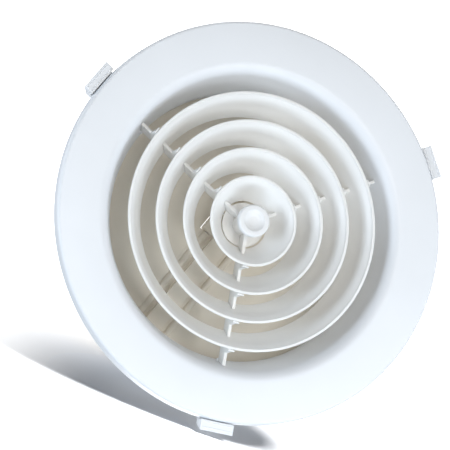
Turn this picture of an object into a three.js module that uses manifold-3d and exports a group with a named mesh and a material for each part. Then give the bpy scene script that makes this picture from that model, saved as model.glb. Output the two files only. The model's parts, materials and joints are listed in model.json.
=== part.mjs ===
// Round ceiling air diffuser: a flanged bell-mouth frame with a clip-in core of four nested cones on a
// three-armed spider, a butterfly damper in the duct collar behind it, and three spring clamp arms.
// Millimetres, +Z up. Z = 0 is the plane where the flange rim meets the ceiling; the face looks down
// (-Z) and the duct collar stands up into the ceiling void. The air axis is Z, through the origin.
// The finished group is then lowered by CENTRE_Z.
import * as THREE from "three";
import { mergeVertices } from "three/addons/utils/BufferGeometryUtils.js";
import Module from "manifold-3d";

const wasm = await Module();
wasm.setup();

// ---------- driving dimensions ----------
// "Depth" is measured up from the face plane; names in _Z are heights from the ceiling plane.
const TURN_FACETS = 36; // facets round a full turn: each arm of the spider then meets a corner line
const FACE_Z = -12; // front face of the flange
const CENTRE_Z = 13.8; // the unit's centre of volume
const ARM_ANGLES = [90, 210, 330]; // spider arms and clamp arms
const SCREW_ANGLES = [30, 150, 270]; // collar screws, between the arms
const SIDES = [1, -1];
const GAP = 0.35; // running and seating clearance
const PIN_R = 1.5; // hinge rods, clamp pins and collar screws
const PIN_HOLE_R = 1.8;

const FLANGE_R = 173.6; // outside of the rim
const FLANGE_T = 2.5; // wall of the frame
const FLANGE_BACK_Z = FACE_Z + FLANGE_T;
const RIM_INNER_R = 171.2;
const MOUTH_R = 137.6; // where the flat of the flange turns into the bell-mouth
const THROAT_R = 116.4; // inside of the neck
const NECK_T = 2.6;
const NECK_TOP = 31.5;
const SCREW_Z = 29.6;

const CLIP_PIVOT_R = 132.5;
const CLIP_PIVOT_Z = 7;

// ---------- spans: [low, high] along one axis ----------
const sizeOf = ([low, high]) => high - low;
const middle = ([low, high]) => (low + high) / 2;
const both = (half) => [-half, half];
// The span [near, far] laid out from zero on the + or - side.
const onSide = (side, [near, far]) => (side > 0 ? [near, far] : [-far, -near]);

// ---------- solids ----------
const toSolid = (geometry) => {
  const bare = new THREE.BufferGeometry();
  bare.setAttribute("position", geometry.getAttribute("position"));
  bare.setIndex(geometry.index);
  const merged = mergeVertices(bare, 1e-4);
  const corners = merged.index.array;
  // faces that shrank to a line, such as those on a lathe's axis, are left out
  const faces = [];
  for (let i = 0; i < corners.length; i += 3) {
    const [first, second, third] = corners.slice(i, i + 3);
    if (first !== second && second !== third && first !== third) faces.push([first, second, third]);
  }
  const build = (triangles) =>
    new wasm.Manifold(
      new wasm.Mesh({
        numProp: 3,
        vertProperties: new Float32Array(merged.attributes.position.array),
        triVerts: new Uint32Array(triangles.flat()),
      }),
    );
  const solid = build(faces);
  // a profile drawn the other way round gives an inside-out solid
  if (solid.volume() >= 0) return solid;
  return build(faces.map(([first, second, third]) => [first, third, second]));
};
const toGeometry = (solid) => {
  const mesh = solid.getMesh();
  const stride = mesh.numProp;
  const positions = new Float32Array(mesh.numVert * 3);
  for (let i = 0; i < mesh.numVert; i++)
    positions.set(mesh.vertProperties.subarray(i * stride, i * stride + 3), i * 3);
  const geometry = new THREE.BufferGeometry();
  geometry.setAttribute("position", new THREE.BufferAttribute(positions, 3));
  geometry.setIndex(new THREE.BufferAttribute(new Uint32Array(mesh.triVerts), 1));
  geometry.computeVertexNormals();
  return geometry;
};
const union = (...solids) => solids.reduce((sum, solid) => sum.add(solid));
const cut = (body, ...tools) => tools.reduce((rest, tool) => rest.subtract(tool), body);
const turned = (solid, degrees) =>
  toSolid(toGeometry(solid).rotateZ(THREE.MathUtils.degToRad(degrees)));

// A closed [radius, z] profile turned about Z.
const lathe = (profile, facets = TURN_FACETS) => {
  const points = [...profile, profile[0]].map(([radius, z]) => new THREE.Vector2(radius, z));
  return toSolid(new THREE.LatheGeometry(points, facets).rotateX(Math.PI / 2));
};
const box = (xSpan, ySpan, zSpan) =>
  toSolid(
    new THREE.BoxGeometry(sizeOf(xSpan), sizeOf(ySpan), sizeOf(zSpan)).translate(
      middle(xSpan),
      middle(ySpan),
      middle(zSpan),
    ),
  );
const extrude = (outline, depth) =>
  new THREE.ExtrudeGeometry(new THREE.Shape(outline.map(([x, y]) => new THREE.Vector2(x, y))), {
    depth,
    bevelEnabled: false,
  });
// Outlines given in the named plane, filling a span of the third axis.
const plateXY = (outline, zSpan) =>
  toSolid(extrude(outline, sizeOf(zSpan)).translate(0, 0, zSpan[0]));
const plateXZ = (outline, ySpan) =>
  toSolid(extrude(outline, sizeOf(ySpan)).rotateX(Math.PI / 2).translate(0, ySpan[1], 0));
const YZX_BASIS = new THREE.Matrix4().makeBasis(
  new THREE.Vector3(0, 1, 0),
  new THREE.Vector3(0, 0, 1),
  new THREE.Vector3(1, 0, 0),
);
const plateYZ = (outline, xSpan) =>
  toSolid(extrude(outline, sizeOf(xSpan)).applyMatrix4(YZX_BASIS).translate(xSpan[0], 0, 0));

const cylinder = (radius, span, facets) =>
  new THREE.CylinderGeometry(radius, radius, sizeOf(span), facets);
const cylZ = (radius, zSpan, facets) =>
  toSolid(cylinder(radius, zSpan, facets).rotateX(Math.PI / 2).translate(0, 0, middle(zSpan)));
const cylX = (radius, xSpan, y, z, facets = 12) =>
  toSolid(cylinder(radius, xSpan, facets).rotateZ(Math.PI / 2).translate(middle(xSpan), y, z));
const cylY = (radius, ySpan, x, z, facets = 12) =>
  toSolid(cylinder(radius, ySpan, facets).translate(x, middle(ySpan), z));

// ---------- section lines: [radius, depth] points ----------
const depthToZ = (line) => line.map(([radius, depth]) => [radius, depth + FACE_Z]);
// Moves a line sideways; a positive distance moves it away from the air axis.
const offsetLine = (line, distance) =>
  line.map(([radius, depth], i) => {
    const before = line[Math.max(i - 1, 0)];
    const after = line[Math.min(i + 1, line.length - 1)];
    const run = [after[0] - before[0], after[1] - before[1]];
    const scale = distance / Math.hypot(...run);
    return [radius + scale * run[1], depth - scale * run[0]];
  });
// Radius at a depth; the last segment is carried on past its end.
const radiusAt = (line, depth) => {
  const found = line.findIndex((point, i) => i > 0 && depth <= point[1]);
  const end = found < 0 ? line.length - 1 : found;
  const [from, to] = [line[end - 1], line[end]];
  return from[0] + ((to[0] - from[0]) * (depth - from[1])) / (to[1] - from[1]);
};

// ---------- frame ----------
// Inside of the bell-mouth, from the flat of the flange to the neck: [radius, depth].
const MOUTH_LINE = [
  [MOUTH_R, 0],
  [133.2, 1.2],
  [130.0, 4.4],
  [127.5, 8.6],
  [117.3, 36],
  [THROAT_R, 38.5],
];
// Closed [radius, z] section of the flange, bell-mouth and neck.
const FRAME_PROFILE = [
  [FLANGE_R, 0],
  [FLANGE_R, FACE_Z + 3.2],
  [172.8, FACE_Z + 1.1],
  [170.8, FACE_Z],
  ...depthToZ(MOUTH_LINE),
  [THROAT_R, NECK_TOP],
  [THROAT_R + NECK_T, NECK_TOP],
  [THROAT_R + NECK_T, 25],
  [130.4, -3.2],
  [133.2, FLANGE_BACK_Z + 3.2],
  [MOUTH_R, FLANGE_BACK_Z],
  [RIM_INNER_R, FLANGE_BACK_Z],
  [RIM_INNER_R, 0],
];
// [x, z] outlines, drawn with the radial direction along +X.
const EAR_OUTLINE = [[128.7, -3.2], [138.5, -3.2], [138.5, 9], [135.5, 13.2], [122.4, 13.2]];
const EAR_SPAN = [15.4, 17.8];
const LEDGE_OUTLINE = [[117.4, 15.8], [121.2, 15.8], [119.6, 20.4], [117.4, 18.4]];
const LEDGE_HALF = 2.2;

const clipBore = () => cylY(PIN_HOLE_R, both(20), CLIP_PIVOT_R, CLIP_PIVOT_Z);
const screwBore = (xSpan) => cylX(PIN_HOLE_R, xSpan, 0, SCREW_Z, 10);

const faceFrame = () => {
  // two ears behind the bell-mouth carry each clamp arm's pin
  const ears = union(...SIDES.map((side) => plateXZ(EAR_OUTLINE, onSide(side, EAR_SPAN))));
  // a ledge inside the neck stops the end of each spider arm
  const ledge = plateXZ(LEDGE_OUTLINE, both(LEDGE_HALF));
  let frame = lathe(FRAME_PROFILE);
  for (const angle of ARM_ANGLES) {
    frame = frame.add(turned(ears, angle));
    frame = frame.add(turned(ledge, angle));
    frame = frame.subtract(turned(clipBore(), angle));
  }
  return cut(frame, ...SCREW_ANGLES.map((angle) => turned(screwBore([110, 122]), angle)));
};

// Foam ring on the back of the flange.
const SEAL_RADII = [146, 169.6];
const SEAL_TOP = 0.6;
const ceilingSeal = () => {
  const [inner, outer] = SEAL_RADII;
  const base = FLANGE_BACK_Z + 0.3;
  return lathe([[inner, base], [outer, base], [outer, SEAL_TOP], [inner, SEAL_TOP]]);
};

// ---------- duct collar ----------
const COLLAR_R = 124; // outside of the duct collar: a 250 mm duct slides over it
const COLLAR_T = 2.2;
const COLLAR_TOP = 95;
const COLLAR_FOOT_Z = 25.4;
const COLLAR_FOOT_R = 127.6;
const COLLAR_BORE_R = 119.4; // inside of the foot, round the neck
const BEAD = 1.5; // height of the bead round the outside
const HINGE_Z = 46; // damper hinge rods
const HINGE_Y = 15;
const HINGE_BOSS_HALF = 4;
const RIVET_Z = 50;
const RIVET_HOLE_R = 2.2;

// Closed [radius, z] section.
const COLLAR_PROFILE = [
  [COLLAR_BORE_R, COLLAR_FOOT_Z],
  [COLLAR_FOOT_R, COLLAR_FOOT_Z],
  [COLLAR_FOOT_R, COLLAR_FOOT_Z + COLLAR_T],
  [COLLAR_R, COLLAR_FOOT_Z + COLLAR_T],
  [COLLAR_R, 79],
  [COLLAR_R + BEAD, 80.5],
  [COLLAR_R + BEAD, 82.5],
  [COLLAR_R, 84],
  [COLLAR_R, COLLAR_TOP],
  [COLLAR_R - COLLAR_T, COLLAR_TOP],
  [COLLAR_R - COLLAR_T, 34.6],
  [COLLAR_BORE_R, 32.4],
];

const ductCollar = () => {
  let collar = lathe(COLLAR_PROFILE);
  for (const side of SIDES) {
    // bosses inside the collar hold the ends of the hinge rods
    for (const y of [HINGE_Y, -HINGE_Y]) {
      const ySpan = [y - HINGE_BOSS_HALF, y + HINGE_BOSS_HALF];
      const zSpan = [HINGE_Z - HINGE_BOSS_HALF, HINGE_Z + HINGE_BOSS_HALF];
      collar = collar.add(box(onSide(side, [117.4, 122.2]), ySpan, zSpan));
      collar = collar.subtract(cylX(PIN_HOLE_R, onSide(side, [116, 120.4]), y, HINGE_Z));
    }
    collar = collar.subtract(cylX(RIVET_HOLE_R, onSide(side, [119, 126]), 0, RIVET_Z));
  }
  return cut(collar, ...SCREW_ANGLES.map((angle) => turned(screwBore([115, 132]), angle)));
};

const collarScrew = () =>
  union(
    cylX(PIN_R, [116.8, 125], 0, SCREW_Z, 10),
    cylX(1.9, [124.3, 126.3], 0, SCREW_Z, 12),
  );

// ---------- cones ----------
const RING_R = [39.2, 63.5, 87.7, 112.1]; // outer edge of each cone's lip
const RING_T = 1.8; // cone wall
const RING_DEPTH = 25;

// The middle line of a cone's wall from its lip to its base.
const coneLine = (lipR) => [
  [lipR - 0.78, 0.95],
  [lipR - 3.1, 3.0],
  [lipR - 5.6, 5.8],
  [lipR - 7.6, 9.0],
  [lipR - 17.6, RING_DEPTH],
];
const coneRing = (lipR) => {
  const outer = offsetLine(coneLine(lipR), RING_T / 2);
  const inner = offsetLine(coneLine(lipR), -RING_T / 2);
  const lip = [[lipR, 0.6], [lipR - 0.4, 0], [lipR - 2.2, 0]];
  return lathe(
    depthToZ([
      [radiusAt(outer, RING_DEPTH), RING_DEPTH],
      outer[3],
      outer[1],
      ...lip,
      inner[1],
      inner[3],
      [radiusAt(inner, RING_DEPTH), RING_DEPTH],
    ]),
  );
};

// ---------- spider ----------
const BLADE_T = 2.7; // spider arm thickness
const BLADE_FRONT = 14; // depth of the arm's front edge
const BLADE_BACK = 27.4; // depth of the arm's rear edge
const ARM_ROOT_R = 6; // inner end of the arm, buried in the boss
const ARM_END_GAP = 0.5; // from the arm's end to the bell-mouth
const RISER = 2.0; // how far each riser stands outside its cone's lip
const RISER_FRONT = 0.7; // depth of the riser's front end
const CROSS_BACK = 3.4; // depth of the back of the riser's cross head
const CROSS_HALF = 2.9;
const BOSS_R = 9.7;
const DISC_R = 19.2;
const SPIDER_BORE_R = 4.4;
const KNOB_R = 14;
const NUB_ANGLE = 210;
const NUB_X = [KNOB_R + 0.6, KNOB_R + 2.6];
const NUB_Z = [-11.2, 12];

// One arm, slotted to clear each cone's wall, with a riser up to each lip.
const armOutline = () => {
  const slotDepth = RING_DEPTH + GAP;
  const outline = [[ARM_ROOT_R, BLADE_FRONT]];
  for (const lipR of RING_R) {
    const inner = offsetLine(coneLine(lipR), -RING_T / 2 - GAP);
    const outer = offsetLine(coneLine(lipR), RING_T / 2 + GAP);
    outline.push(
      [radiusAt(inner, BLADE_FRONT), BLADE_FRONT],
      [radiusAt(inner, slotDepth), slotDepth],
      [radiusAt(outer, slotDepth), slotDepth],
      outer[3],
      outer[2],
      outer[1],
      [outer[0][0] + 0.2, 2.2],
      [lipR + GAP, RISER_FRONT],
      [lipR + RISER, RISER_FRONT],
      [lipR + RISER, BLADE_FRONT],
    );
  }
  outline.push(
    [radiusAt(MOUTH_LINE, BLADE_FRONT) - ARM_END_GAP, BLADE_FRONT],
    [radiusAt(MOUTH_LINE, BLADE_BACK) - ARM_END_GAP, BLADE_BACK],
    [ARM_ROOT_R, BLADE_BACK],
  );
  return depthToZ(outline);
};

const coreSpider = () => {
  const bladeBackZ = FACE_Z + BLADE_BACK;
  const bladeSpan = both(BLADE_T / 2);
  const crossZ = [FACE_Z + RISER_FRONT, FACE_Z + CROSS_BACK];
  const arm = plateXZ(armOutline(), bladeSpan);
  let spider = union(
    cylZ(BOSS_R, [FACE_Z + 3.8, bladeBackZ], 24),
    cylZ(DISC_R, [bladeBackZ - 1.6, bladeBackZ + 0.4], 30),
  );
  for (const angle of ARM_ANGLES) {
    spider = spider.add(turned(arm, angle));
    // each riser ends in a small cross head beside the cone's lip
    for (const lipR of RING_R) {
      const crossHead = box([lipR + GAP, lipR + RISER], both(CROSS_HALF), crossZ);
      spider = spider.add(turned(crossHead, angle));
    }
  }
  // an index nub beside the knob shows the damper's position
  spider = spider.add(turned(box(NUB_X, bladeSpan, NUB_Z), NUB_ANGLE));
  return spider.subtract(cylZ(SPIDER_BORE_R, [-20, 40], 20));
};

// ---------- knob ----------
const KNOB_PROUD = 2; // knob in front of the face plane
const KNOB_FACE = FACE_Z - KNOB_PROUD;
const STEM_R = 4.1;
const STEM_TOP = 31;
const GROOVE_R = 3.4; // clip groove in the stem
const GROOVE_Z = [16.1, 17.6];

// Dished knob and grooved stem: closed [radius, z] section.
const KNOB_PROFILE = [
  [0, KNOB_FACE + 3.4],
  [4.2, KNOB_FACE + 2.9],
  [7.6, KNOB_FACE + 1.5],
  [9.5, KNOB_FACE],
  [12.9, KNOB_FACE],
  [KNOB_R, KNOB_FACE + 1.1],
  [KNOB_R, KNOB_FACE + 4.9],
  [13.2, KNOB_FACE + 5.4],
  [STEM_R, KNOB_FACE + 5.4],
  [STEM_R, GROOVE_Z[0]],
  [GROOVE_R, GROOVE_Z[0]],
  [GROOVE_R, GROOVE_Z[1]],
  [STEM_R, GROOVE_Z[1]],
  [STEM_R, STEM_TOP],
  [0, STEM_TOP],
];
// A square socket in the stem takes the end of the lift screw.
const damperKnob = () =>
  lathe(KNOB_PROFILE, 24).subtract(box(both(1.7), both(1.7), [24, 32]));
const knobClip = () =>
  cut(
    cylZ(6.6, [16.3, 17.4], 18),
    cylZ(GROOVE_R + 0.3, [16, 18], 14),
    box(both(2.4), [0, 8], [16, 18]),
  );

// ---------- damper bar ----------
const BAR_Z = 41; // underside of the bar
const BAR_T = 2.4;
const BAR_TOP = BAR_Z + BAR_T;
const BAR_END = 119.8; // half the length
const BAR_HALF = 8.2; // half the width
const PAD_X = 17; // half-size of the bar's centre plate
const PAD_Y = 21.2;
const LIP_T = 1.2; // upturned edges
const SUNK_Z = BAR_TOP - 0.5; // foot of the parts that stand on the bar
const POST_X = [8.2, 11]; // bridge posts
const BRIDGE_Z = 62;

const damperBar = () => {
  let bar = union(
    box(both(BAR_END), both(BAR_HALF), [BAR_Z, BAR_TOP]),
    box(both(PAD_X), both(PAD_Y), [BAR_Z, BAR_TOP]),
    box(both(POST_X[1]), both(6.5), [BRIDGE_Z, BRIDGE_Z + BAR_T]),
  );
  for (const sideX of SIDES) {
    const endTab = box(onSide(sideX, [117.6, BAR_END]), both(BAR_HALF), [SUNK_Z, 56]);
    const bridgePost = box(onSide(sideX, POST_X), both(5), [SUNK_Z, BRIDGE_Z + 1]);
    bar = union(bar, endTab, bridgePost);
    for (const sideY of SIDES) {
      const corner = (xSpan, ySpan, zSpan) =>
        box(onSide(sideX, xSpan), onSide(sideY, ySpan), zSpan);
      const barLip = corner([16.9, 118.2], [BAR_HALF - LIP_T, BAR_HALF], [SUNK_Z, 48.4]);
      const padLip = corner([4.8, PAD_X], [PAD_Y - LIP_T, PAD_Y + 0.3], [BAR_Z, 46.2]);
      const hingeBlock = corner([13.6, 17.3], [7, 19.8], [BAR_Z, 49.4]);
      bar = union(bar, barLip, padLip, hingeBlock);
    }
  }
  const rackWindow = box(both(6.2), both(19.4), [BAR_Z - 1, BAR_TOP + 0.01]);
  const screwHole = cylZ(3.35, [60, 66], 16);
  bar = cut(bar, rackWindow, screwHole);
  for (const side of SIDES) {
    bar = bar.subtract(cylX(PIN_HOLE_R, both(22), side * HINGE_Y, HINGE_Z));
    bar = bar.subtract(cylX(RIVET_HOLE_R, onSide(side, [116, 121]), 0, RIVET_Z));
  }
  return bar;
};
// The rivet and rod on the + side; the other ones are the same, turned half round.
const barRivet = () =>
  union(cylX(1.9, [116, 123.4], 0, RIVET_Z), cylX(3.4, [115.2, 117.2], 0, RIVET_Z, 14));
const hingeRod = () => cylX(PIN_R, both(120), HINGE_Y, HINGE_Z);

// ---------- lift rack and screw ----------
const PITCH_R = 8; // blade pinions
const MODULE = 1; // 16 teeth round a full pinion
const TOOTH_PITCH = Math.PI * MODULE;
const TOOTH_HALF = TOOTH_PITCH / 4 - 0.2; // at the pitch line, less half the backlash
const ADDENDUM = MODULE - 0.1;
const DEDENDUM = 1.25 * MODULE;
const FLANK_SLOPE = 0.364; // tangent of the 20 degree pressure angle
const RACK_HALF = 4.4;

// Square nut with teeth on its two Y sides, bored for the lift screw.
const liftRack = () => {
  const rootY = HINGE_Y - PITCH_R - DEDENDUM;
  const tipY = HINGE_Y - PITCH_R + ADDENDUM;
  const rootHalf = TOOTH_HALF + DEDENDUM * FLANK_SLOPE;
  const tipHalf = TOOTH_HALF - ADDENDUM * FLANK_SLOPE;
  let rack = box(both(RACK_HALF), both(rootY), [43.2, 60.5]);
  for (let k = -1; k <= 3; k++) {
    const toothZ = HINGE_Z + TOOTH_PITCH * (k + 0.5);
    const tooth = [
      [rootY - 0.4, toothZ - rootHalf],
      [rootY, toothZ - rootHalf],
      [tipY, toothZ - tipHalf],
      [tipY, toothZ + tipHalf],
      [rootY, toothZ + rootHalf],
      [rootY - 0.4, toothZ + rootHalf],
    ];
    for (const side of SIDES)
      rack = rack.add(plateYZ(tooth.map(([y, z]) => [side * y, z]), both(RACK_HALF)));
  }
  return rack.subtract(cylZ(3.3, [40, 62], 16));
};

// Square end, shank and collar.
const liftScrew = () =>
  union(
    box(both(1.4), both(1.4), [24.6, 32.6]),
    cylZ(3.0, [32.4, 66.6], 16),
    cylZ(4.4, [60.9, 61.7], 16),
  );
const screwClip = () => cut(cylZ(5.6, [64.8, 65.9], 16), cylZ(3.3, [64, 67], 16));

// ---------- damper blade, on the +Y side ----------
const BLADE_R = 120.2;
const BLADE_END = 116.8; // the blade is cut back here to clear the ends of its rod
const BLADE_HALF_T = 0.8;
const ARC_STEPS = 20;
const SECTOR_HALF = 4.2; // half the width of the pinion sector
const RIB_X = 55;
const RIB_HALF_T = 0.9;
const RIB_TOP = HINGE_Z + 4.5;
const RIB_OUTLINE = [[19, HINGE_Z], [104, HINGE_Z], [99, RIB_TOP], [24, RIB_TOP]]; // [y, z]

// Half-moon outline, notched round the bar's centre plate.
const bladeOutline = () => {
  const edgeY = BAR_HALF + 0.4;
  const notchX = PAD_X + 0.7;
  const notchY = PAD_Y + 0.7;
  const startAngle = Math.acos(BLADE_END / BLADE_R);
  const outline = [[BLADE_END, edgeY]];
  for (let i = 0; i <= ARC_STEPS; i++) {
    const angle = startAngle + ((Math.PI - 2 * startAngle) * i) / ARC_STEPS;
    outline.push([BLADE_R * Math.cos(angle), BLADE_R * Math.sin(angle)]);
  }
  outline.push(
    [-BLADE_END, edgeY],
    [-notchX, edgeY],
    [-notchX, notchY],
    [-SECTOR_HALF, notchY],
    [-SECTOR_HALF, 13],
    [SECTOR_HALF, 13],
    [SECTOR_HALF, notchY],
    [notchX, notchY],
    [notchX, edgeY],
  );
  return outline;
};

// Six pinion teeth that meet the rack through the bar's window.
const pinionSector = () => {
  const pointAt = (radius, degrees) => {
    const angle = THREE.MathUtils.degToRad(degrees);
    return [HINGE_Y + radius * Math.cos(angle), HINGE_Z + radius * Math.sin(angle)];
  };
  const body = [[HINGE_Y, HINGE_Z]];
  for (let degrees = 78; degrees <= 216; degrees += 23)
    body.push(pointAt(PITCH_R - DEDENDUM, degrees));
  let sector = plateYZ(body, both(SECTOR_HALF));
  sector = sector.add(cylX(4.4, both(SECTOR_HALF), HINGE_Y, HINGE_Z, 16));
  // [radius, half thickness] up a tooth
  const toothLevels = [[6.2, 1.0], [PITCH_R, TOOTH_HALF], [PITCH_R + ADDENDUM, 0.3]];
  const toothStep = (360 * MODULE) / (2 * PITCH_R);
  for (let i = 0; i < 6; i++) {
    const flank = (side) =>
      toothLevels.map(([radius, half]) =>
        pointAt(radius, 90 + i * toothStep + side * THREE.MathUtils.radToDeg(half / radius)),
      );
    sector = sector.add(plateYZ([...flank(-1), ...flank(1).reverse()], both(SECTOR_HALF)));
  }
  return sector;
};

const damperBlade = () => {
  const plate = plateXY(bladeOutline(), [HINGE_Z - BLADE_HALF_T, HINGE_Z + BLADE_HALF_T]);
  let blade = plate.add(pinionSector());
  for (const side of SIDES) {
    const rodSleeve = cylX(3.2, onSide(side, [18.2, 116.4]), HINGE_Y, HINGE_Z);
    const ribSpan = onSide(side, [RIB_X - RIB_HALF_T, RIB_X + RIB_HALF_T]);
    blade = union(blade, rodSleeve, plateYZ(RIB_OUTLINE, ribSpan));
  }
  return blade.subtract(cylX(PIN_HOLE_R, both(118), HINGE_Y, HINGE_Z));
};

// ---------- clamp arm station: radial = +X, tangential = Y ----------
const CLIP_HALF = 14.7; // half the width of a clamp arm
const CLIP_TIP_R = 183.5;
const CLIP_TIP_Z = -8;
const CLIP_BACK_R = 130.8; // end of the arm nearest the air axis
const CLIP_STEP_R = 174.6; // where the arm turns down
const CLIP_Z = [1.2, 4.4]; // underside and top of the arm
const CLIP_RIB_T = 2;
// [x, z] outlines
const CLIP_OUTLINE = [
  [CLIP_BACK_R, CLIP_Z[0]],
  [CLIP_STEP_R, CLIP_Z[0]],
  [CLIP_STEP_R, CLIP_TIP_Z],
  [CLIP_TIP_R, CLIP_TIP_Z],
  [CLIP_TIP_R, CLIP_TIP_Z + 1.6],
  [177.5, CLIP_Z[1]],
  [CLIP_BACK_R, CLIP_Z[1]],
];
const CLIP_RIB_OUTLINE = [[134, 4], [172, 4], [166, 7.4], [138, 8]];

const clampCylinder = (radius, ySpan, facets) =>
  cylY(radius, ySpan, CLIP_PIVOT_R, CLIP_PIVOT_Z, facets);

const clampArm = () => {
  const ribs = SIDES.map((side) =>
    plateXZ(CLIP_RIB_OUTLINE, onSide(side, [CLIP_HALF - CLIP_RIB_T, CLIP_HALF])),
  );
  const body = union(
    plateXZ(CLIP_OUTLINE, both(CLIP_HALF)),
    clampCylinder(3.6, both(CLIP_HALF), 16),
    ...ribs,
  );
  const springSlot = box([120, 139.5], both(4.8), [-2, 13]);
  const armWindow = box([144, 166], both(6), [0, 6]);
  return cut(body, springSlot, armWindow, clipBore());
};
// Headed at the -Y end.
const clampPin = () =>
  union(clampCylinder(PIN_R, [-18.4, 18.8]), clampCylinder(2.7, [-19.6, -18.2], 14));
// A coil drawn as a plain sleeve, with one leg standing up.
const clampSpring = () =>
  cut(
    union(clampCylinder(4.5, both(4.2), 16), box([129.6, 130.8], [1.6, 2.8], [9.5, 16])),
    clampCylinder(2.2, both(6), 12),
  );

// ---------- materials ----------
const material = (color, roughness, metalness = 0) =>
  new THREE.MeshStandardMaterial({ color, roughness, metalness });
const white = () => material(0xf1f3f5, 0.48);
const core = () => material(0xf3f4f4, 0.4);
const warm = () => material(0xdcd6cd, 0.55);
const foam = () => material(0xc9cbcc, 0.95);
const steel = () => material(0xb9bcc0, 0.35, 1);

// ---------- scene ----------
const addGroup = (parent, degrees = 0) => {
  const group = new THREE.Group();
  group.rotation.z = THREE.MathUtils.degToRad(degrees);
  parent.add(group);
  return group;
};
const put = (parent, name, solid, finish) => {
  const mesh = new THREE.Mesh(toGeometry(solid), finish);
  mesh.name = name;
  parent.add(mesh);
};

const part = new THREE.Group();
const root = addGroup(part);
root.position.z = -CENTRE_Z;

const housing = addGroup(root);
put(housing, "face_frame", faceFrame(), white());
put(housing, "ceiling_seal", ceilingSeal(), foam());
put(housing, "duct_collar", ductCollar(), white());
SCREW_ANGLES.forEach((angle, i) => {
  put(addGroup(housing, angle), `collar_screw_${i + 1}`, collarScrew(), steel());
});

const coreGroup = addGroup(root);
RING_R.forEach((lipR, i) => put(coreGroup, `cone_ring_${i + 1}`, coneRing(lipR), core()));
put(coreGroup, "core_spider", coreSpider(), core());

const knobGroup = addGroup(root);
put(knobGroup, "damper_knob", damperKnob(), core());
put(knobGroup, "knob_clip", knobClip(), steel());

const damper = addGroup(root);
put(damper, "damper_bar", damperBar(), warm());
const putDamperHalf = (parent, number) => {
  put(parent, `bar_rivet_${number}`, barRivet(), steel());
  put(parent, `hinge_rod_${number}`, hingeRod(), steel());
  put(parent, `damper_blade_${number}`, damperBlade(), warm());
};
putDamperHalf(damper, 1);
put(damper, "lift_rack", liftRack(), core());
put(damper, "lift_screw", liftScrew(), steel());
put(damper, "screw_clip", screwClip(), steel());
putDamperHalf(addGroup(damper, 180), 2);

ARM_ANGLES.forEach((angle, i) => {
  const station = addGroup(root, angle);
  put(station, `clamp_arm_${i + 1}`, clampArm(), white());
  put(station, `clamp_pin_${i + 1}`, clampPin(), steel());
  put(station, `clamp_spring_${i + 1}`, clampSpring(), steel());
});

export default part;
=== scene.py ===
"""Round ceiling air diffuser: flange and bell-mouth, duct collar, a core of cone rings on a
three-armed spider, a knob-driven pair of damper blades and three sprung clamp arms.

The air axis is Z. The unit faces down (-Z) and its collar points up. Part dimensions are in
millimetres, with height 0 on the ceiling plane; the stage, lights and camera are in metres.
"""

import json
import math

import bmesh
import bpy
from mathutils import Matrix, Vector

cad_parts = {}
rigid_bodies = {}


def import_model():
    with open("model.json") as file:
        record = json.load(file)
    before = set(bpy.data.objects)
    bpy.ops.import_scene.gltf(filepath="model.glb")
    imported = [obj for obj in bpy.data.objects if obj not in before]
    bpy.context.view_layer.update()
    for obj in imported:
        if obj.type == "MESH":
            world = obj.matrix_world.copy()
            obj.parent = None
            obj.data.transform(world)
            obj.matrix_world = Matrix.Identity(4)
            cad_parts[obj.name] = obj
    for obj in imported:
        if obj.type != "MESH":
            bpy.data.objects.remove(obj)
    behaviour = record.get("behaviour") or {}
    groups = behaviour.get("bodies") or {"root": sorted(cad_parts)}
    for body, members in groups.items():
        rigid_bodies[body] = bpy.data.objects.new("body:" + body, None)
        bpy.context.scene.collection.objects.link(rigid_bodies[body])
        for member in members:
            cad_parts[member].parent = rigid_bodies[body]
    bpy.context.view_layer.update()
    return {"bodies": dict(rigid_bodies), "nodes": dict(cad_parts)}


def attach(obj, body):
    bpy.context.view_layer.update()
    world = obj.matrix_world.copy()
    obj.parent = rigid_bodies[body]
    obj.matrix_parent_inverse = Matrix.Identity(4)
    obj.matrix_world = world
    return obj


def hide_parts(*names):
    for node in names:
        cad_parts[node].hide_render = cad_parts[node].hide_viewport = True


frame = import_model()

MM = 0.001
LIFT = Vector((0, 0, -0.0138))  # metres, from the ceiling plane to the frame's origin
ROUND_SEGMENTS = 216

FACE = -12.0  # height of the flange's front; a "depth" is measured up from here
FLANGE_R = 173.6
FLANGE_SHEET = 2.5
CLAMP_ANGLES = (90, 210, 330)
PIN_AT, PIN_Z = 132.5, 7  # clamp pin: distance from the axis, and height
SCREW_ANGLES = (30, 150, 270)
SCREW_Z = 29.6
HINGE_Y, HINGE_Z = 15.0, 46.0
RIVET_Z = 50
ROD_R = 1.5  # hinge rods, clamp pins and shanks of the collar screws
BORE_R = 1.8  # the holes they pass through


# ---------------------------------------------------------------- 2-D outlines
def spline(points, steps=4):
    """Catmull-Rom curve through the points."""
    out = []
    last = len(points) - 1
    for i in range(last):
        four = points[max(i - 1, 0)], points[i], points[i + 1], points[min(i + 2, last)]
        for j in range(steps):
            t = j / steps
            out.append(tuple(
                0.5 * (2 * b + (c - a) * t + (2 * a - 5 * b + 4 * c - d) * t * t
                       + (3 * b - a - 3 * c + d) * t ** 3)
                for a, b, c, d in zip(*four)))
    out.append(tuple(points[-1]))
    return out


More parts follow.
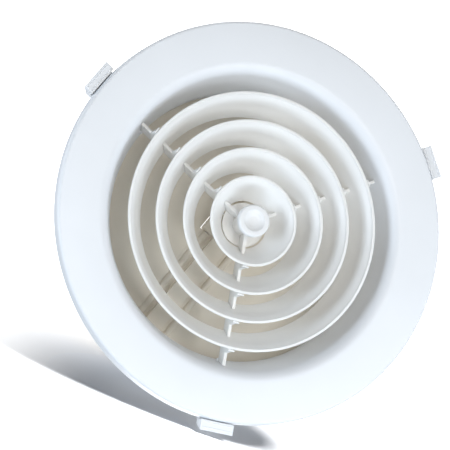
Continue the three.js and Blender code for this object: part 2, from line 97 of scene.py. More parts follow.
def fillet(points, steps=4):
    """Closed outline with (x, y, radius) corners rounded and (x, y) corners left sharp."""
    out = []
    for i, point in enumerate(points):
        radius = point[2] if len(point) > 2 else 0
        if radius <= 0:
            out.append((point[0], point[1]))
            continue
        corner = Vector(point[:2])
        before = Vector(points[i - 1][:2]) - corner
        after = Vector(points[(i + 1) % len(points)][:2]) - corner
        length_before, length_after = before.length, after.length
        before.normalize()
        after.normalize()
        half = before.angle(after) / 2
        reach = min(radius / math.tan(half), length_before * 0.49, length_after * 0.49)
        radius = reach * math.tan(half)
        centre = corner + (before + after).normalized() * (radius / math.sin(half))
        start = corner + before * reach - centre
        end = corner + after * reach - centre
        first = math.atan2(start.y, start.x)
        sweep = (math.atan2(end.y, end.x) - first + math.pi) % (2 * math.pi) - math.pi
        for j in range(steps + 1):
            angle = first + sweep * j / steps
            out.append((centre.x + radius * math.cos(angle),
                        centre.y + radius * math.sin(angle)))
    return out


def offset(line, distance):
    out = []
    for i, point in enumerate(line):
        a, b = line[max(i - 1, 0)], line[min(i + 1, len(line) - 1)]
        length = math.hypot(b[0] - a[0], b[1] - a[1])
        out.append((point[0] + distance * (b[1] - a[1]) / length,
                    point[1] - distance * (b[0] - a[0]) / length))
    return out


def radius_at(line, depth):
    """Radius of a (radius, depth) line at a depth; its last stretch carries on past its end."""
    for (r0, d0), (r1, d1) in zip(line, line[1:]):
        if depth <= d1:
            break
    return r0 + (r1 - r0) * (depth - d0) / (d1 - d0)


def from_face(points):
    """(radius, depth) points as (radius, height)."""
    return [(r, depth + FACE) for r, depth in points]


def polar(r, degrees, x=0, y=0):
    angle = math.radians(degrees)
    return (x + r * math.cos(angle), y + r * math.sin(angle))


def both(half):
    return (-half, half)


def span(side, near, far):
    """Range from near to far on the +1 or -1 side of zero, in rising order."""
    return tuple(sorted((side * near, side * far)))


# ---------------------------------------------------------------- solids
def place(name, data):
    obj = bpy.data.objects.new(name, data)
    bpy.context.scene.collection.objects.link(obj)
    return obj


def shade(obj, sharp_above=38):
    for polygon in obj.data.polygons:
        polygon.use_smooth = True
    obj.data.set_sharp_from_angle(angle=math.radians(sharp_above))
    return obj


def made(bm, name="part"):
    bmesh.ops.recalc_face_normals(bm, faces=bm.faces)
    mesh = bpy.data.meshes.new(name)
    bm.to_mesh(mesh)
    bm.free()
    return shade(place(name, mesh))


def bridge(bm, a, b):
    """Quads between two rings of equal count."""
    for j in range(len(a)):
        k = (j + 1) % len(a)
        bm.faces.new((a[j], a[k], b[k], b[j]))


def lathe(profile, segments=ROUND_SEGMENTS):
    """Closed (radius, height) profile turned about Z."""
    bm = bmesh.new()
    rings = []
    for r, z in profile:
        if r < 1e-5:
            rings.append([bm.verts.new((0, 0, z * MM))])
            continue
        angles = [2 * math.pi * i / segments for i in range(segments)]
        rings.append([bm.verts.new((r * MM * math.cos(a), r * MM * math.sin(a), z * MM))
                      for a in angles])
    for i, a in enumerate(rings):
        b = rings[(i + 1) % len(rings)]
        if len(a) == len(b):
            if len(a) > 1:
                bridge(bm, a, b)
            continue
        for j in range(segments):
            k = (j + 1) % segments
            if len(a) == 1:
                bm.faces.new((a[0], b[k], b[j]))
            else:
                bm.faces.new((a[j], a[k], b[0]))
    return made(bm)


def prism(outline, ends, plane="XZ", bevel=0.0):
    """Outline in a plane, drawn out between two places on the axis across it."""
    bm = bmesh.new()

    def vert(u, v, w):
        return bm.verts.new(Vector({"XZ": (u, w, v), "XY": (u, v, w), "YZ": (w, u, v)}[plane]) * MM)

    a, b = ([vert(u, v, w) for u, v in outline] for w in ends)
    bm.faces.new(a)
    bm.faces.new(list(reversed(b)))
    for i in range(len(outline)):
        j = (i + 1) % len(outline)
        bm.faces.new((a[i], b[i], b[j], a[j]))
    bmesh.ops.recalc_face_normals(bm, faces=bm.faces)
    if bevel:
        sharp = [e for e in bm.edges
                 if len(e.link_faces) == 2 and e.calc_face_angle(0) > math.radians(28)]
        bmesh.ops.bevel(bm, geom=sharp, offset=bevel * MM, segments=2, profile=0.5,
                        affect="EDGES", clamp_overlap=True)
    return made(bm)


def block(xs, ys, zs, bevel=0.0):
    (x0, x1), (y0, y1) = xs, ys
    return prism([(x0, y0), (x1, y0), (x1, y1), (x0, y1)], zs, "XY", bevel)


def turn(obj, degrees):
    obj.data.transform(Matrix.Rotation(math.radians(degrees), 4, "Z"))
    return obj


def lay(obj, axis, x=0, y=0, z=0):
    """Lay a part made along Z along X or Y instead, then move it."""
    angle, about = {"X": (math.pi / 2, "Y"), "Y": (-math.pi / 2, "X")}[axis]
    obj.data.transform(Matrix.Rotation(angle, 4, about))
    obj.data.transform(Matrix.Translation(Vector((x, y, z)) * MM))
    return obj


def rod(r, ends, axis, x=0, y=0, z=0, segments=48, rounding=0.0):
    """Round bar along X or Y."""
    low, high = ends
    rounding = min(rounding, r * 0.4)
    profile = fillet([(0, low), (r, low, rounding), (r, high, rounding), (0, high)], 3)
    return lay(lathe(profile, segments), axis, x, y, z)


def drop(obj):
    mesh = obj.data
    bpy.data.objects.remove(obj)
    bpy.data.meshes.remove(mesh)


def join(parts):
    bm = bmesh.new()
    for part in parts:
        bm.from_mesh(part.data)
        drop(part)
    return made(bm)


def evaluated_mesh(obj):
    bpy.context.view_layer.update()
    return bpy.data.meshes.new_from_object(
        obj.evaluated_get(bpy.context.evaluated_depsgraph_get()))


def boolean(obj, others, operation):
    for other in others:
        modifier = obj.modifiers.new("boolean", "BOOLEAN")
        modifier.solver = "EXACT"
        modifier.operation = operation
        modifier.object = other
    mesh = evaluated_mesh(obj)
    old = obj.data
    obj.modifiers.clear()
    obj.data = mesh
    bpy.data.meshes.remove(old)
    for other in others:
        drop(other)
    return shade(obj)


def add(obj, other):
    return boolean(obj, [other], "UNION")


def cut(obj, *others):
    return boolean(obj, others, "DIFFERENCE")


# ---------------------------------------------------------------- shader nodes
def feed(tree, node, inputs):
    """Link or set inputs, given by socket name or index."""
    for key, value in inputs.items():
        if isinstance(value, bpy.types.NodeSocket):
            tree.links.new(value, node.inputs[key])
        else:
            node.inputs[key].default_value = value


def new_node(tree, kind, inputs=None, **settings):
    node = tree.nodes.new("ShaderNode" + kind)
    for key, value in settings.items():
        setattr(node, key, value)
    feed(tree, node, inputs or {})
    return node


def ramp(tree, value, source, target, interpolation="LINEAR"):
    return new_node(tree, "MapRange", {
        "From Min": source[0], "From Max": source[1], "To Min": target[0], "To Max": target[1],
        "Value": value}, interpolation_type=interpolation).outputs["Result"]


def noise(tree, coords, scale, detail, rough=0.5):
    return new_node(tree, "TexNoise", {"Scale": scale, "Detail": detail, "Roughness": rough,
                                       "Vector": coords}).outputs["Fac"]


def mapping(tree, coords, **inputs):
    return new_node(tree, "Mapping", {**inputs, "Vector": coords}).outputs["Vector"]


def mix_colour(tree, factor, a, b):
    # sockets 6, 7 and output 2 are the node's colour ones
    return new_node(tree, "Mix", {"Factor": factor, 6: a, 7: b}, data_type="RGBA").outputs[2]


def bump(tree, height, strength, distance, **normal):
    return new_node(tree, "Bump", {"Strength": strength, "Distance": distance,
                                   "Height": height, **normal}).outputs["Normal"]


def new_material(name):
    """A material with its node tree, Principled node and object coordinates."""
    mat = bpy.data.materials.new(name)
    mat.use_nodes = True
    tree = mat.node_tree
    coords = new_node(tree, "TexCoord").outputs["Object"]
    return mat, tree, tree.nodes["Principled BSDF"], coords


# ---------------------------------------------------------------- materials
def material(name, base, dirt, rough, peel, wave=(60, 0.05, 0.0004), metal=0.0, grain=None,
             dirt_amount=0.25, scuffs=0.04):
    """Dirtied, scuffed surface.

    peel and wave are the fine and broad bumps: noise scale, strength, distance in metres.
    grain stretches the fine bumps; scuffs is the roughness that scratches add.
    """
    mat, tree, shader, coords = new_material(name)
    base, dirt = (*base, 1), (*dirt, 1)
    fine_coords = mapping(tree, coords, Scale=grain) if grain else coords
    patches = noise(tree, coords, scale=9, detail=4)
    fine = noise(tree, fine_coords, scale=peel[0], detail=2)
    clouds = noise(tree, coords, scale=45, detail=5, rough=0.62)
    colour = mix_colour(tree, ramp(tree, patches, (0.35, 0.75), (0, dirt_amount)), base, dirt)
    specks = noise(tree, coords, scale=620, detail=2, rough=0.6)
    speck_dirt = ramp(tree, specks, (0.66, 0.78), (0, dirt_amount * 0.8))
    clouded = ramp(tree, clouds, (0.3, 0.7), (rough - 0.06, rough + 0.07))
    streaks = mapping(tree, coords, Scale=(260, 18, 90), Rotation=(0.3, 0.2, 0.7))
    scratches = noise(tree, streaks, scale=1, detail=2)
    scuffed = ramp(tree, scratches, (0.62, 0.72), (0, scuffs))
    broad = noise(tree, coords, scale=wave[0], detail=2)
    broad_normal = bump(tree, broad, *wave[1:])
    feed(tree, shader, {
        "Base Color": mix_colour(tree, speck_dirt, colour, dirt),
        "Roughness": new_node(tree, "Math", {0: clouded, 1: scuffed},
                              operation="ADD").outputs[0],
        "Metallic": metal,
        "Coat Roughness": 0.25,
        "Normal": bump(tree, fine, *peel[1:], Normal=broad_normal),
    })
    return mat


MATERIALS = {
    "frame_white": material(
        "frame enamel", base=(0.86, 0.88, 0.905), dirt=(0.70, 0.71, 0.72), rough=0.44,
        peel=(1300, 0.35, 0.00012)),
    "core_white": material(
        "core enamel", base=(0.885, 0.885, 0.87), dirt=(0.74, 0.71, 0.66), rough=0.38,
        peel=(1500, 0.22, 0.0001)),
    "knob_white": material(
        "knob plastic", base=(0.86, 0.87, 0.875), dirt=(0.72, 0.70, 0.67), rough=0.36,
        peel=(2200, 0.15, 0.00006), wave=(120, 0.05, 0.0003)),
    # painted warm bounce light: the beige hue of base and dirt stands in for warm light bounced
    # into the shaded damper, which is white like the rest; the noise patches are dirt
    "damper_grey": material(
        "damper paint with painted warm bounce", base=(0.85, 0.79, 0.68), dirt=(0.70, 0.61, 0.48), rough=0.55,
        peel=(1100, 0.3, 0.00012), dirt_amount=0.45),
    "clamp_white": material(
        "clamp enamel", base=(0.85, 0.87, 0.895), dirt=(0.66, 0.66, 0.66), rough=0.42,
        peel=(1500, 0.3, 0.0001)),
    "plated_steel": material(
        "zinc plate", base=(0.63, 0.64, 0.66), dirt=(0.46, 0.45, 0.43), rough=0.32, metal=1.0,
        peel=(700, 0.25, 0.00005), grain=(1, 1, 0.12), dirt_amount=0.5, scuffs=0.15),
    "seal_foam": material(
        "seal foam", base=(0.55, 0.56, 0.57), dirt=(0.36, 0.36, 0.36), rough=0.92,
        peel=(900, 0.9, 0.0005), wave=(260, 0.7, 0.0006), dirt_amount=0.6),
}


def dress(obj, slot):
    obj.data.materials.clear()
    obj.data.materials.append(MATERIALS[slot])


def piece(obj, node, body, slot, name=None):
    """Finish a part, hang it on its body and let it stand in for the frame's node."""
    obj.name = (name or node) + "_skin"
    obj.data.name = obj.name
    obj.data.transform(Matrix.Translation(LIFT))
    dress(obj, slot)
    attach(obj, body)
    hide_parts(node)


# ---------------------------------------------------------------- flange, bell-mouth and seal
# (radius, depth); the first stretch only shapes the curve and is left out
MOUTH = spline([(141, 0), (137.9, 0.02), (134.8, 0.62), (131.8, 2.4), (129.3, 5.2),
                (127.5, 8.6), (125.6, 14.0)])[4:]
THROAT_BEND, THROAT_END = (117.3, 36.0), (116.4, 43.3)


def wall_at(depth):
    return radius_at(MOUTH + [THROAT_BEND, THROAT_END], depth)


def face_frame():
    flange_inside = FLANGE_R - FLANGE_SHEET
    profile = fillet([(FLANGE_R, 12, 0.35), (FLANGE_R, 0, 3.0), (150, 0)], 6)[:-1]
    profile += MOUTH + fillet([MOUTH[-1], (*THROAT_BEND, 6), THROAT_END])[1:]
    profile += [(116.5, 43.5), (118.9, 43.5)]
    profile += fillet([(118.9, 43.5), (119.1, 37.0, 3), (128.0, 14.2)])[1:-1]
    profile += [(r, depth) for r, depth in reversed(offset(MOUTH, FLANGE_SHEET))
                if depth > 2.55 and r < 137.6]
    profile += fillet([(139, FLANGE_SHEET), (flange_inside, FLANGE_SHEET, 1.4),
                       (flange_inside, 12, 0.3)])[1:]
    obj = lathe(from_face(profile))
    ear = fillet([(129.0, -3.0), (138.5, -3.0, 1.0), (138.5, 9, 2.0), (135.5, 13.2, 2.0),
                  (122.6, 13.2)])
    ledge = fillet([(117.6, 15.8, 0.5), (121.2, 15.8), (119.6, 20.4), (117.6, 18.6, 0.5)], 3)
    extras = []
    for angle in CLAMP_ANGLES:
        for side in (1, -1):
            extras.append(turn(prism(ear, span(side, 15.4, 17.8), bevel=0.25), angle))
        extras.append(turn(prism(ledge, both(2.2), bevel=0.15), angle))
    add(obj, join(extras))
    holes = [turn(rod(BORE_R, both(20), "Y", PIN_AT, 0, PIN_Z, segments=28), angle)
             for angle in CLAMP_ANGLES]
    holes += [turn(rod(BORE_R, (110, 122), "X", z=SCREW_Z, segments=20), angle)
              for angle in SCREW_ANGLES]
    return cut(obj, join(holes))


piece(face_frame(), "face_frame", "housing", "frame_white", "flange_and_bell_mouth")

seal = lathe(fillet([(146, -9.2, 0.6), (169.6, -9.2, 0.6), (169.6, 0.6, 1.2),
                     (146, 0.6, 1.2)], 3))
piece(seal, "ceiling_seal", "housing", "seal_foam")


# ---------------------------------------------------------------- duct collar
def duct_collar():
    # (radius, height, rounding): up the outside over the swaged bead, then down the inside
    obj = lathe(fillet([
        (119.45, 25.4, 0.5), (127.6, 25.4, 0.7), (127.6, 27.6, 0.7), (124, 27.6, 0.5),
        (124, 78.6, 1.0), (125.5, 80.4, 1.2), (125.5, 82.6, 1.2), (124, 84.4, 1.0),
        (124, 95, 0.5), (121.8, 95, 0.5), (121.8, 84.4, 1.0), (123.2, 82.6, 1.0),
        (123.2, 80.4, 1.0), (121.8, 78.6, 1.0), (121.8, 34.6, 1.5), (119.45, 32.4, 1.2)]))
    pads, holes = [], []
    for side in (1, -1):
        for hinge_side in (1, -1):
            y = hinge_side * HINGE_Y
            pads.append(block(span(side, 117.4, 122.6), (y - 4, y + 4),
                              (HINGE_Z - 4, HINGE_Z + 4), 0.5))
            holes.append(rod(BORE_R, span(side, 116, 120.4), "X", 0, y, HINGE_Z, segments=24))
        holes.append(rod(2.2, span(side, 119, 126), "X", z=RIVET_Z, segments=24))
    for angle in SCREW_ANGLES:
        holes.append(turn(rod(BORE_R, (115, 132), "X", z=SCREW_Z, segments=20), angle))
    add(obj, join(pads))
    return cut(obj, join(holes))


def collar_screw():
    """Cross-slotted screw pointing at the axis."""
    obj = lathe(fillet([(0, 116.8), (0.9, 116.8, 0.2), (ROD_R, 118.0, 0.3), (ROD_R, 124.35),
                        (1.9, 124.35, 0.2), (1.9, 125.6, 0.5), (1.0, 126.25, 0.6),
                        (0, 126.28)]), 36)
    slot = block(both(1.2), both(0.25), (125.4, 128))
    cut(obj, add(slot, block(both(0.25), both(1.2), (125.4, 128))))
    return lay(obj, "X", z=SCREW_Z)


piece(duct_collar(), "duct_collar", "housing", "frame_white")
for i, angle in enumerate(SCREW_ANGLES):
    piece(turn(collar_screw(), angle), "collar_screw_%d" % (i + 1), "housing", "plated_steel")

# ---------------------------------------------------------------- core: cones and spider
LIPS = (39.2, 63.5, 87.75, 112.15)  # lip radius of each cone
CONE_HALF_SHEET = 0.9
ARM_HALF_GAP = 1.25  # from a cone's middle line to the arm round it
ARM_FRONT, ARM_BACK = 14.0, 27.4  # depths


def cone_line(lip):
    """Middle line of a cone's sheet, as (radius, depth)."""
    return spline([(lip - 0.9, 0.9), (lip - 3.2, 3.0), (lip - 5.6, 5.8), (lip - 7.6, 9.0),
                   (lip - 10.4, 13.9), (lip - 17.6, 25.0)])


def cone_ring(lip):
    line = cone_line(lip)
    outer, inner = offset(line, CONE_HALF_SHEET), offset(line, -CONE_HALF_SHEET)
    outer_base, inner_base = radius_at(outer, 24.7), radius_at(inner, 24.7)
    profile = [(outer_base - 0.1, 25.0), (outer_base, 24.7)]
    profile += [p for p in reversed(outer) if 2.0 < p[1] < 24.4]
    # the rolled lip is a flat bead, a little wider than the sheet
    profile += fillet([(radius_at(outer, 1.9), 1.9), (lip, 1.1, 0.4), (lip, 0.0, 0.55),
                       (lip - 2.3, 0.0, 0.5), (radius_at(inner, 1.5), 1.5)])
    profile += [p for p in inner if 1.6 < p[1] < 24.4]
    profile += [(inner_base, 24.7), (inner_base + 0.1, 25.0)]
    return lathe(from_face(profile))


def arm_outline():
    """Side of a spider arm, stepping round the back and outside of each cone."""
    points = [(6, ARM_FRONT)]
    for lip in LIPS:
        line = cone_line(lip)
        inner, outer = offset(line, -ARM_HALF_GAP), offset(line, ARM_HALF_GAP)
        points += [(radius_at(inner, ARM_FRONT), ARM_FRONT), (radius_at(inner, 25.35), 25.35),
                   (radius_at(outer, 25.35), 25.35)]
        points += [p for p in reversed(outer) if 1.9 < p[1] < 25.2]
        points += [(lip + 0.45, 0.9), (lip + 1.75, 0.9, 0.5), (lip + 1.75, ARM_FRONT)]
    points += [(wall_at(ARM_FRONT) - 0.5, ARM_FRONT), (wall_at(ARM_BACK) - 0.5, ARM_BACK),
               (6, ARM_BACK)]
    return from_face(fillet(points, 3))


def core_spider():
    hub = fillet([(4.4, 3.8, 0.3), (9.7, 3.8, 0.7), (9.7, 25.75), (19.25, 25.8, 0.4),
                  (19.25, 27.8, 0.6), (4.4, 27.8, 0.3)])
    obj = lathe(from_face(hub), 96)
    outline = arm_outline()
    for angle in CLAMP_ANGLES:
        add(obj, turn(prism(outline, both(1.35), bevel=0.22), angle))
    nubs = []
    for angle in CLAMP_ANGLES:
        for lip in LIPS:
            nub = fillet([(lip + 0.45, -11.3), (lip + 1.75, -11.3, 0.45),
                          (lip + 1.75, -8.4, 0.45), (lip + 0.2, -8.4)], 3)
            nubs.append(turn(prism(nub, both(2.9), bevel=0.25), angle))
    index = fillet([(14.7, -11.2, 0.4), (16.5, -11.2, 0.5), (16.5, 12), (14.7, 12)], 3)
    nubs.append(turn(prism(index, both(1.5), bevel=0.25), 210))
    return add(obj, join(nubs))


for i, lip in enumerate(LIPS):
    piece(cone_ring(lip), "cone_ring_%d" % (i + 1), "core", "core_white")
piece(core_spider(), "core_spider", "core", "core_white")

# ---------------------------------------------------------------- knob
KNOB_FRONT = -14.0


def damper_knob():
    """Dished knob on a stem with a clip groove and a square socket at its top."""
    head = [(0, 3.4), (4.2, 2.9, 3), (7.4, 1.6, 2), (9.5, 0, 0.5), (12.9, 0, 0.7),
            (14, 1.2, 0.8), (14, 4.9, 0.4), (13.2, 5.4, 0.3), (4.1, 5.4, 0.5)]
    head = [(r, KNOB_FRONT + depth, *rounding) for r, depth, *rounding in head]
    stem = [(4.1, 16.1, 0.1), (3.4, 16.1, 0.1), (3.4, 17.6, 0.1), (4.1, 17.6, 0.1),
            (4.1, 31, 0.4), (0, 31)]
    obj = lathe(fillet(head + stem, 5), 128)
    return cut(obj, block(both(1.7), both(1.7), (24, 32)))


def c_clip(r_out, r_in, zs, half_gap, facing):
    """Open ring; half_gap and facing, in degrees, set its opening."""
    angles = [half_gap + (360 - 2 * half_gap) * i / 40 + facing for i in range(41)]
    outline = [polar(r_out, a) for a in angles] + [polar(r_in, a) for a in reversed(angles)]
    return prism(outline, zs, "XY", 0.15)


piece(damper_knob(), "damper_knob", "knob", "knob_white")
knob_clip = c_clip(r_out=6.4, r_in=3.7, zs=(16.3, 17.4), half_gap=24, facing=90)
piece(knob_clip, "knob_clip", "knob", "plated_steel")

# ---------------------------------------------------------------- damper
GEAR_R = 8.0
TOOTH_HALF = math.pi / 4 - 0.2  # quarter of the tooth pitch, less play
BLADE_END, BLADE_R = 116.8, 120.2


def sector():
    """Gear sector about the hinge, six teeth at sixteen to the turn."""
    def point(r, degrees):
        return polar(r, degrees, HINGE_Y, HINGE_Z)

    width = both(4.2)
    body = [(HINGE_Y, HINGE_Z)] + [point(6.75, 78 + 138 * i / 18) for i in range(19)]
    obj = prism(body, width, "YZ")
    add(obj, rod(4.4, width, "X", 0, HINGE_Y, HINGE_Z, rounding=0.1))
    # radius, half width of the tooth there
    flank = ((6.2, 1.0), (7.1, 0.82), (GEAR_R, TOOTH_HALF), (8.5, 0.44), (8.9, 0.28))
    for i in range(6):
        middle = 90 + 22.5 * i
        left = [point(r, middle - math.degrees(half / r)) for r, half in flank]
        right = [point(r, middle + math.degrees(half / r)) for r, half in flank]
        add(obj, prism(left + right[::-1], width, "YZ"))
    return obj


def damper_blade():
    """Half-round blade on the +Y side."""
    edge_y = 8.6
    notch_x, notch_y = 17.7, 21.9
    start = math.acos(BLADE_END / BLADE_R)
    angles = [start + (math.pi - 2 * start) * i / 72 for i in range(73)]
    outline = [(BLADE_END, edge_y, 1.0)]
    outline += [(BLADE_R * math.cos(a), BLADE_R * math.sin(a)) for a in angles]
    outline += [(-BLADE_END, edge_y, 1.0), (-notch_x, edge_y, 0.5), (-notch_x, notch_y, 0.8),
                (-4.2, notch_y, 0.3), (-4.2, 13), (4.2, 13), (4.2, notch_y, 0.3),
                (notch_x, notch_y, 0.8), (notch_x, edge_y, 0.5)]
    obj = prism(fillet(outline), (HINGE_Z - 0.8, HINGE_Z + 0.8), "XY", 0.25)
    for side in (1, -1):
        add(obj, rod(3.2, span(side, 18.2, 116.4), "X", 0, HINGE_Y, HINGE_Z, rounding=0.3))
    add(obj, sector())
    rib = fillet([(19, HINGE_Z), (104, HINGE_Z), (99, HINGE_Z + 4.5, 1.5),
                  (24, HINGE_Z + 4.5, 1.5)])
    for side in (-1, 1):
        add(obj, prism(rib, span(side, 54.1, 55.9), "YZ", 0.25))
    return cut(obj, rod(BORE_R, both(118), "X", 0, HINGE_Y, HINGE_Z, segments=36))


def bar_rivet():
    profile = fillet([(0, 115.2), (2.4, 115.25, 1.2), (3.4, 116.6, 0.4), (3.4, 117.2, 0.2),
                      (1.9, 117.2), (1.9, 123.4, 0.2), (0, 123.4)], 5)
    return lay(lathe(profile, 48), "X", z=RIVET_Z)


def lift_screw():
    """Steep four-start thread between a square drive end and a plain head end."""
    around, rows = 64, 150
    bottom, top = 32.4, 60.9
    lead, starts = 14.0, 4
    mean_r, thread_half = 2.7, 0.29
    run_out = 1.2  # the thread fades over this height at each end
    bm = bmesh.new()
    rings = []
    for i in range(rows + 1):
        z = bottom + (top - bottom) * i / rows
        fade = max(min(1.0, (z - bottom) / run_out, (top - z) / run_out), 0.0)
        ring = []
        for j in range(around):
            a = 2 * math.pi * j / around
            wave = math.cos(starts * (a + 2 * math.pi * z / lead))
            r = mean_r + thread_half * max(-1.0, min(1.0, 1.8 * wave)) * fade
            ring.append(bm.verts.new((r * MM * math.cos(a), r * MM * math.sin(a), z * MM)))
        rings.append(ring)
    for a, b in zip(rings, rings[1:]):
        bridge(bm, a, b)
    bm.faces.new(list(reversed(rings[0])))
    bm.faces.new(rings[-1])
    obj = made(bm)
    head = fillet([(0, 60.0), (2.4, 60.0), (2.4, 60.9), (4.4, 60.9, 0.2), (4.4, 61.7, 0.2),
                   (3.0, 61.7), (3.0, 66.6, 0.4), (0, 66.6)], 3)
    add(obj, lathe(head, 48))
    return add(obj, block(both(1.4), both(1.4), (24.6, 33), 0.2))


blade_1 = damper_blade()
blade_2 = turn(place("part", blade_1.data.copy()), 180)
piece(blade_1, "damper_blade_1", "blade_1", "damper_grey")
piece(blade_2, "damper_blade_2", "blade_2", "damper_grey")

for i, side in ((1, 1), (2, -1)):
    hinge = rod(ROD_R, both(120), "X", 0, side * HINGE_Y, HINGE_Z, segments=40, rounding=0.3)
    piece(hinge, "hinge_rod_%d" % i, "housing", "plated_steel")
    rivet = turn(bar_rivet(), 0 if side == 1 else 180)
    piece(rivet, "bar_rivet_%d" % i, "housing", "plated_steel")

piece(lift_screw(), "lift_screw", "screw", "plated_steel")
screw_clip = c_clip(r_out=5.6, r_in=3.3, zs=(64.8, 65.9), half_gap=18, facing=0)
piece(screw_clip, "screw_clip", "screw", "plated_steel")

# ---------------------------------------------------------------- clamps, made on the +X side
CLAMP_HALF = 14.7  # half width of a clamp arm


def clamp_arm():
    side_view = fillet([(130.8, 1.2, 0.4), (174.6, 1.2, 0.5), (174.6, -8, 0.2),
                        (183.5, -8, 0.5), (183.5, -6.4, 0.5), (177.6, 4.4, 3.0),
                        (130.8, 4.4, 0.8)])
    obj = prism(side_view, both(CLAMP_HALF), bevel=0.35)
    add(obj, rod(3.6, both(CLAMP_HALF), "Y", PIN_AT, 0, PIN_Z, rounding=0.3))
    rib = fillet([(134, 4), (172, 4), (166, 7.4, 2.0), (138, 8, 2.0)])
    for side in (1, -1):
        add(obj, prism(rib, span(side, 12.7, CLAMP_HALF), bevel=0.25))
    for x in (176.6, 180.9):
        ridge = fillet([(x - 0.5, -7.8), (x - 0.3, -8.45, 0.2), (x + 0.3, -8.45, 0.2),
                        (x + 0.5, -7.8)], 2)
        add(obj, prism(ridge, both(13.6)))
    slot = block((120, 139.5), both(4.8), (-2, 13))
    window = block((144, 166), both(6), (0, 6))
    return cut(obj, slot, window, rod(BORE_R, both(20), "Y", PIN_AT, 0, PIN_Z, segments=36))


def clamp_pin():
    profile = fillet([(0, -19.6), (2.7, -19.6, 0.7), (2.7, -18.2, 0.2), (ROD_R, -18.2),
                      (ROD_R, 18.8, 0.4), (0, 18.8)])
    return lay(lathe(profile, 40), "Y", PIN_AT, 0, PIN_Z)


def clamp_spring():
    """Torsion spring: a coil round the pin with one leg up against the bell-mouth."""
    turns, wire_r, coil_r = 5.25, 0.7, 3.2
    steps = int(turns * 28)
    path = [Vector((137.6, -3.7, 10.2))]
    for j in range(steps + 1):
        t = j / steps
        angle = 2 * math.pi * turns * t + math.pi / 2
        path.append(Vector((PIN_AT + coil_r * math.cos(angle), -3.6 + 7.0 * t,
                            PIN_Z + coil_r * math.sin(angle))))
    coil_end = path[-1]
    path += [coil_end + Vector((-0.2, 0.1, rise)) for rise in (2.4, 7.2)]
    curve = bpy.data.curves.new("spring", "CURVE")
    curve.dimensions = "3D"
    curve.bevel_depth = wire_r * MM
    curve.bevel_resolution = 3
    curve.use_fill_caps = True
    line = curve.splines.new("POLY")
    line.points.add(len(path) - 1)
    for point, place_mm in zip(line.points, path):
        point.co = (*(place_mm * MM), 1)
    wire = place("spring", curve)
    mesh = evaluated_mesh(wire)
    bpy.data.objects.remove(wire)
    return shade(place("part", mesh), 60)


for i, angle in enumerate(CLAMP_ANGLES, 1):
    piece(turn(clamp_arm(), angle), "clamp_arm_%d" % i, "clamp_%d" % i, "clamp_white")
    piece(turn(clamp_pin(), angle), "clamp_pin_%d" % i, "housing", "plated_steel")
    piece(turn(clamp_spring(), angle), "clamp_spring_%d" % i, "housing", "plated_steel")

# ---------------------------------------------------------------- pieces kept from the frame
for node, slot in (("damper_bar", "damper_grey"), ("lift_rack", "knob_white")):
    kept = frame["nodes"][node]
    dress(kept, slot)
    edges = kept.modifiers.new("edges", "BEVEL")
    edges.width = 0.0003
    edges.segments = 2
    edges.limit_method = "ANGLE"
    edges.angle_limit = math.radians(40)
    edges.harden_normals = True

# ---------------------------------------------------------------- camera
# The face as the camera sees it, in axes right, down and forward: two directions in its plane,
# its outward normal and its centre (metres).
FACE_RIGHT = Vector((0.94086485, 0.04876279, 0.33525442))
FACE_UP = Vector((0, -0.98958707, 0.14393553))
FACE_NORMAL = Vector((0.33878213, -0.13542388, -0.93106769))
FACE_CENTRE = Vector((24.49885, -3.62034, 2287.504)) * MM
WORLD_X_ANGLE = 229.8  # where +X lies on the face, in degrees from its right


def seen_direction(degrees):
    angle = math.radians(degrees)
    return FACE_RIGHT * math.cos(angle) + FACE_UP * math.sin(angle)


world_axes = (seen_direction(WORLD_X_ANGLE), seen_direction(WORLD_X_ANGLE - 90), -FACE_NORMAL)
right, down, forward = (Vector(axis) for axis in zip(*world_axes))
up, back = -down, -forward
eye = (LIFT + Vector((0, 0, FACE * MM))
       - Vector([axis.dot(FACE_CENTRE) for axis in world_axes]))
camera_data = bpy.data.cameras.new("Camera")
camera_data.sensor_width = 36
camera_data.lens = 215.012
camera_data.clip_end = 50
camera = place("Camera", camera_data)
camera.matrix_world = Matrix((*zip(right, up, back, eye), (0, 0, 0, 1)))
bpy.context.scene.camera = camera


# ---------------------------------------------------------------- stage
def stage_material(name, colour, seen_from, threshold, glow_radii, glow):
    """Matt surface with painted light: it glows more away from its middle, which washes out cast
    shadow there and leaves the middle darker.

    It shows only where the view lies near enough to seen_from (dot product over the
    threshold), and is clear from elsewhere.
    """
    mat, tree, shader, coords = new_material(name)
    darker = tuple(x * 0.985 for x in colour)
    mottle = ramp(tree, noise(tree, coords, scale=3, detail=3), (0.3, 0.7), (0, 1))
    distance = new_node(tree, "VectorMath", {0: coords}, operation="LENGTH").outputs["Value"]
    feed(tree, shader, {
        "Base Color": mix_colour(tree, mottle, (*colour, 1), (*darker, 1)),
        "Roughness": 0.9,
        "Specular IOR Level": 0.1,
        # painted light: white glow from nothing at the inner radius to full at the outer one
        "Emission Color": (1, 1, 1, 1),
        "Emission Strength": ramp(tree, distance, glow_radii, (0, glow), "SMOOTHSTEP"),
    })
    incoming = new_node(tree, "NewGeometry").outputs["Incoming"]
    facing = new_node(tree, "VectorMath", {0: incoming, 1: seen_from}, operation="DOT_PRODUCT")
    shown = new_node(tree, "Math", {0: facing.outputs["Value"], 1: threshold},
                     operation="GREATER_THAN")
    clear = new_node(tree, "BsdfTransparent")
    mixed = new_node(tree, "MixShader", {0: shown.outputs[0], 1: clear.outputs[0],
                                         2: shader.outputs[0]})
    feed(tree, tree.nodes["Material Output"], {"Surface": mixed.outputs[0]})
    return mat


def camera_only(obj):
    obj.visible_diffuse = False
    obj.visible_glossy = False
    obj.visible_transmission = False
    obj.visible_volume_scatter = False
    obj.visible_shadow = False


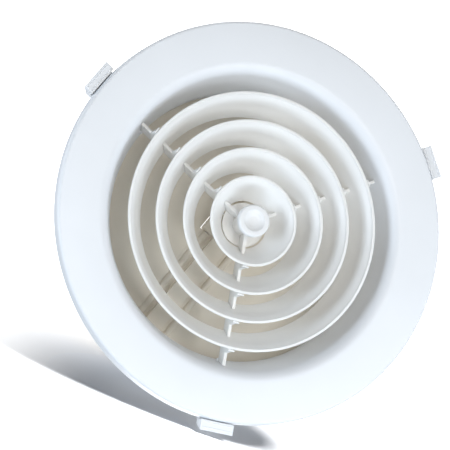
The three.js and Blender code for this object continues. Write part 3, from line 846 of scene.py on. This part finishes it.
# The diffuser leans on its rim and collar against a pale table, a sloping plane that lies
# outside the whole object on its 338 degree side.
table_side = Vector((*polar(1, 338), 0))
table_normal = -(table_side * 0.8944) - Vector((0, 0, 0.4472))
bm = bmesh.new()
bmesh.ops.create_grid(bm, x_segments=1, y_segments=1, size=8)
table = made(bm, "Table")
table.matrix_world = (Matrix.Translation(table_side * 0.184 + LIFT)
                      @ table_normal.to_track_quat("Z", "Y").to_matrix().to_4x4())
# painted light: the table glows from 0.08 m out to full at 0.205 m from its middle by the rim, so
# the lamp's cast shadow fades away from the contact
table.data.materials.append(stage_material(
    "table", colour=(0.66, 0.67, 0.69), seen_from=back, threshold=0.97,
    glow_radii=(0.08, 0.205), glow=1.0))
camera_only(table)

# one lamp lights the table alone; the studio lamps leave the table out
only_table = bpy.data.collections.new("lit by the table lamp")
only_table.objects.link(table)
not_table = bpy.data.collections.new("left out by the studio lamps")
not_table.objects.link(table)
not_table.collection_objects[0].light_linking.link_state = "EXCLUDE"

bm = bmesh.new()
bmesh.ops.create_circle(bm, cap_ends=True, segments=64, radius=6)
floor = made(bm, "Floor")
floor.location.z = -0.0141 + LIFT.z
# painted light: the floor glows more from 0.5 m to 2.6 m out from under the diffuser, so its far
# part is brighter and the part under the diffuser darker
floor.data.materials.append(stage_material(
    "floor", colour=(0.62, 0.625, 0.63), seen_from=(0, 0, 1), threshold=0.005,
    glow_radii=(0.5, 2.6), glow=0.60))
camera_only(floor)
follow = floor.constraints.new("COPY_LOCATION")
follow.target = frame["bodies"]["core"]
follow.use_x = follow.use_y = False
follow.use_offset = True

# ---------------------------------------------------------------- lights
OUTWARD = Vector((0, 0, -1))
ACROSS = (right - OUTWARD * right.dot(OUTWARD)).normalized()
UPWARD = (up - OUTWARD * up.dot(OUTWARD)).normalized()
WHITE, WARM, COOL = (1, 1, 1), (1.05, 1.0, 0.925), (0.84, 0.985, 1.15)


def before_face(out, high, side):
    """A point in front of the face, with high and side as the camera sees them."""
    return OUTWARD * out + UPWARD * high + ACROSS * side


def aim(obj, position):
    """Point a lamp as if from the position towards the origin."""
    obj.rotation_euler = (-position).to_track_quat("-Z", "Y").to_euler()


def area_lights(table):
    for name, position, size, power, colour in table:
        data = bpy.data.lights.new(name, "AREA")
        data.shape = "DISK"
        data.size = size
        data.energy = power
        data.color = colour
        lamp = place(name, data)
        lamp.location = position + LIFT
        aim(lamp, position)
        lamp.light_linking.receiver_collection = not_table


# name, position, diameter, power in watts, colour
area_lights((
    ("Front", before_face(1.6, 0, 0), 1.0, 8.1, WARM),
    ("Lower right", before_face(1.3, -0.65, 0.65), 0.6, 6.7, (0.97, 1.0, 1.03)),
    ("Lower left", before_face(1.3, -0.65, -0.65), 0.6, 1.0, WHITE),
    ("Rake below", before_face(0.35, -0.75, 0), 0.5, 2.4, COOL),
    ("Rake right", before_face(0.5, 0, 1.2), 0.6, 3.0, COOL),
    ("Rake left", before_face(0.5, 0, -1.2), 0.6, 6.5, COOL),
))
sun_data = bpy.data.lights.new("Table lamp", "SUN")
sun_data.energy = 8.5
sun_data.angle = math.radians(20)
sun = place("Table lamp", sun_data)
aim(sun, before_face(0.42, 0.52, 0.68))
sun.light_linking.receiver_collection = only_table
area_lights((
    ("Top key", Vector((0.9, -0.8, 1.5)), 0.9, 22, WHITE),
    ("Top fill", Vector((-1.4, 0.6, 1.0)), 1.2, 20, WHITE),
    ("Back fill", Vector((0.5, 1.6, 0.8)), 1.2, 12, WHITE),
))

# ---------------------------------------------------------------- world
world = bpy.data.worlds.new("World")
bpy.context.scene.world = world
world.use_nodes = True
# the backdrop is pale for the camera and dim as a light
camera_ray = new_node(world.node_tree, "LightPath").outputs["Is Camera Ray"]
feed(world.node_tree, world.node_tree.nodes["Background"], {
    "Color": (0.97, 0.99, 1.02, 1),
    "Strength": ramp(world.node_tree, camera_ray, (0, 1), (0.16, 0.66)),
})
bpy.context.scene.view_settings.view_transform = "Standard"
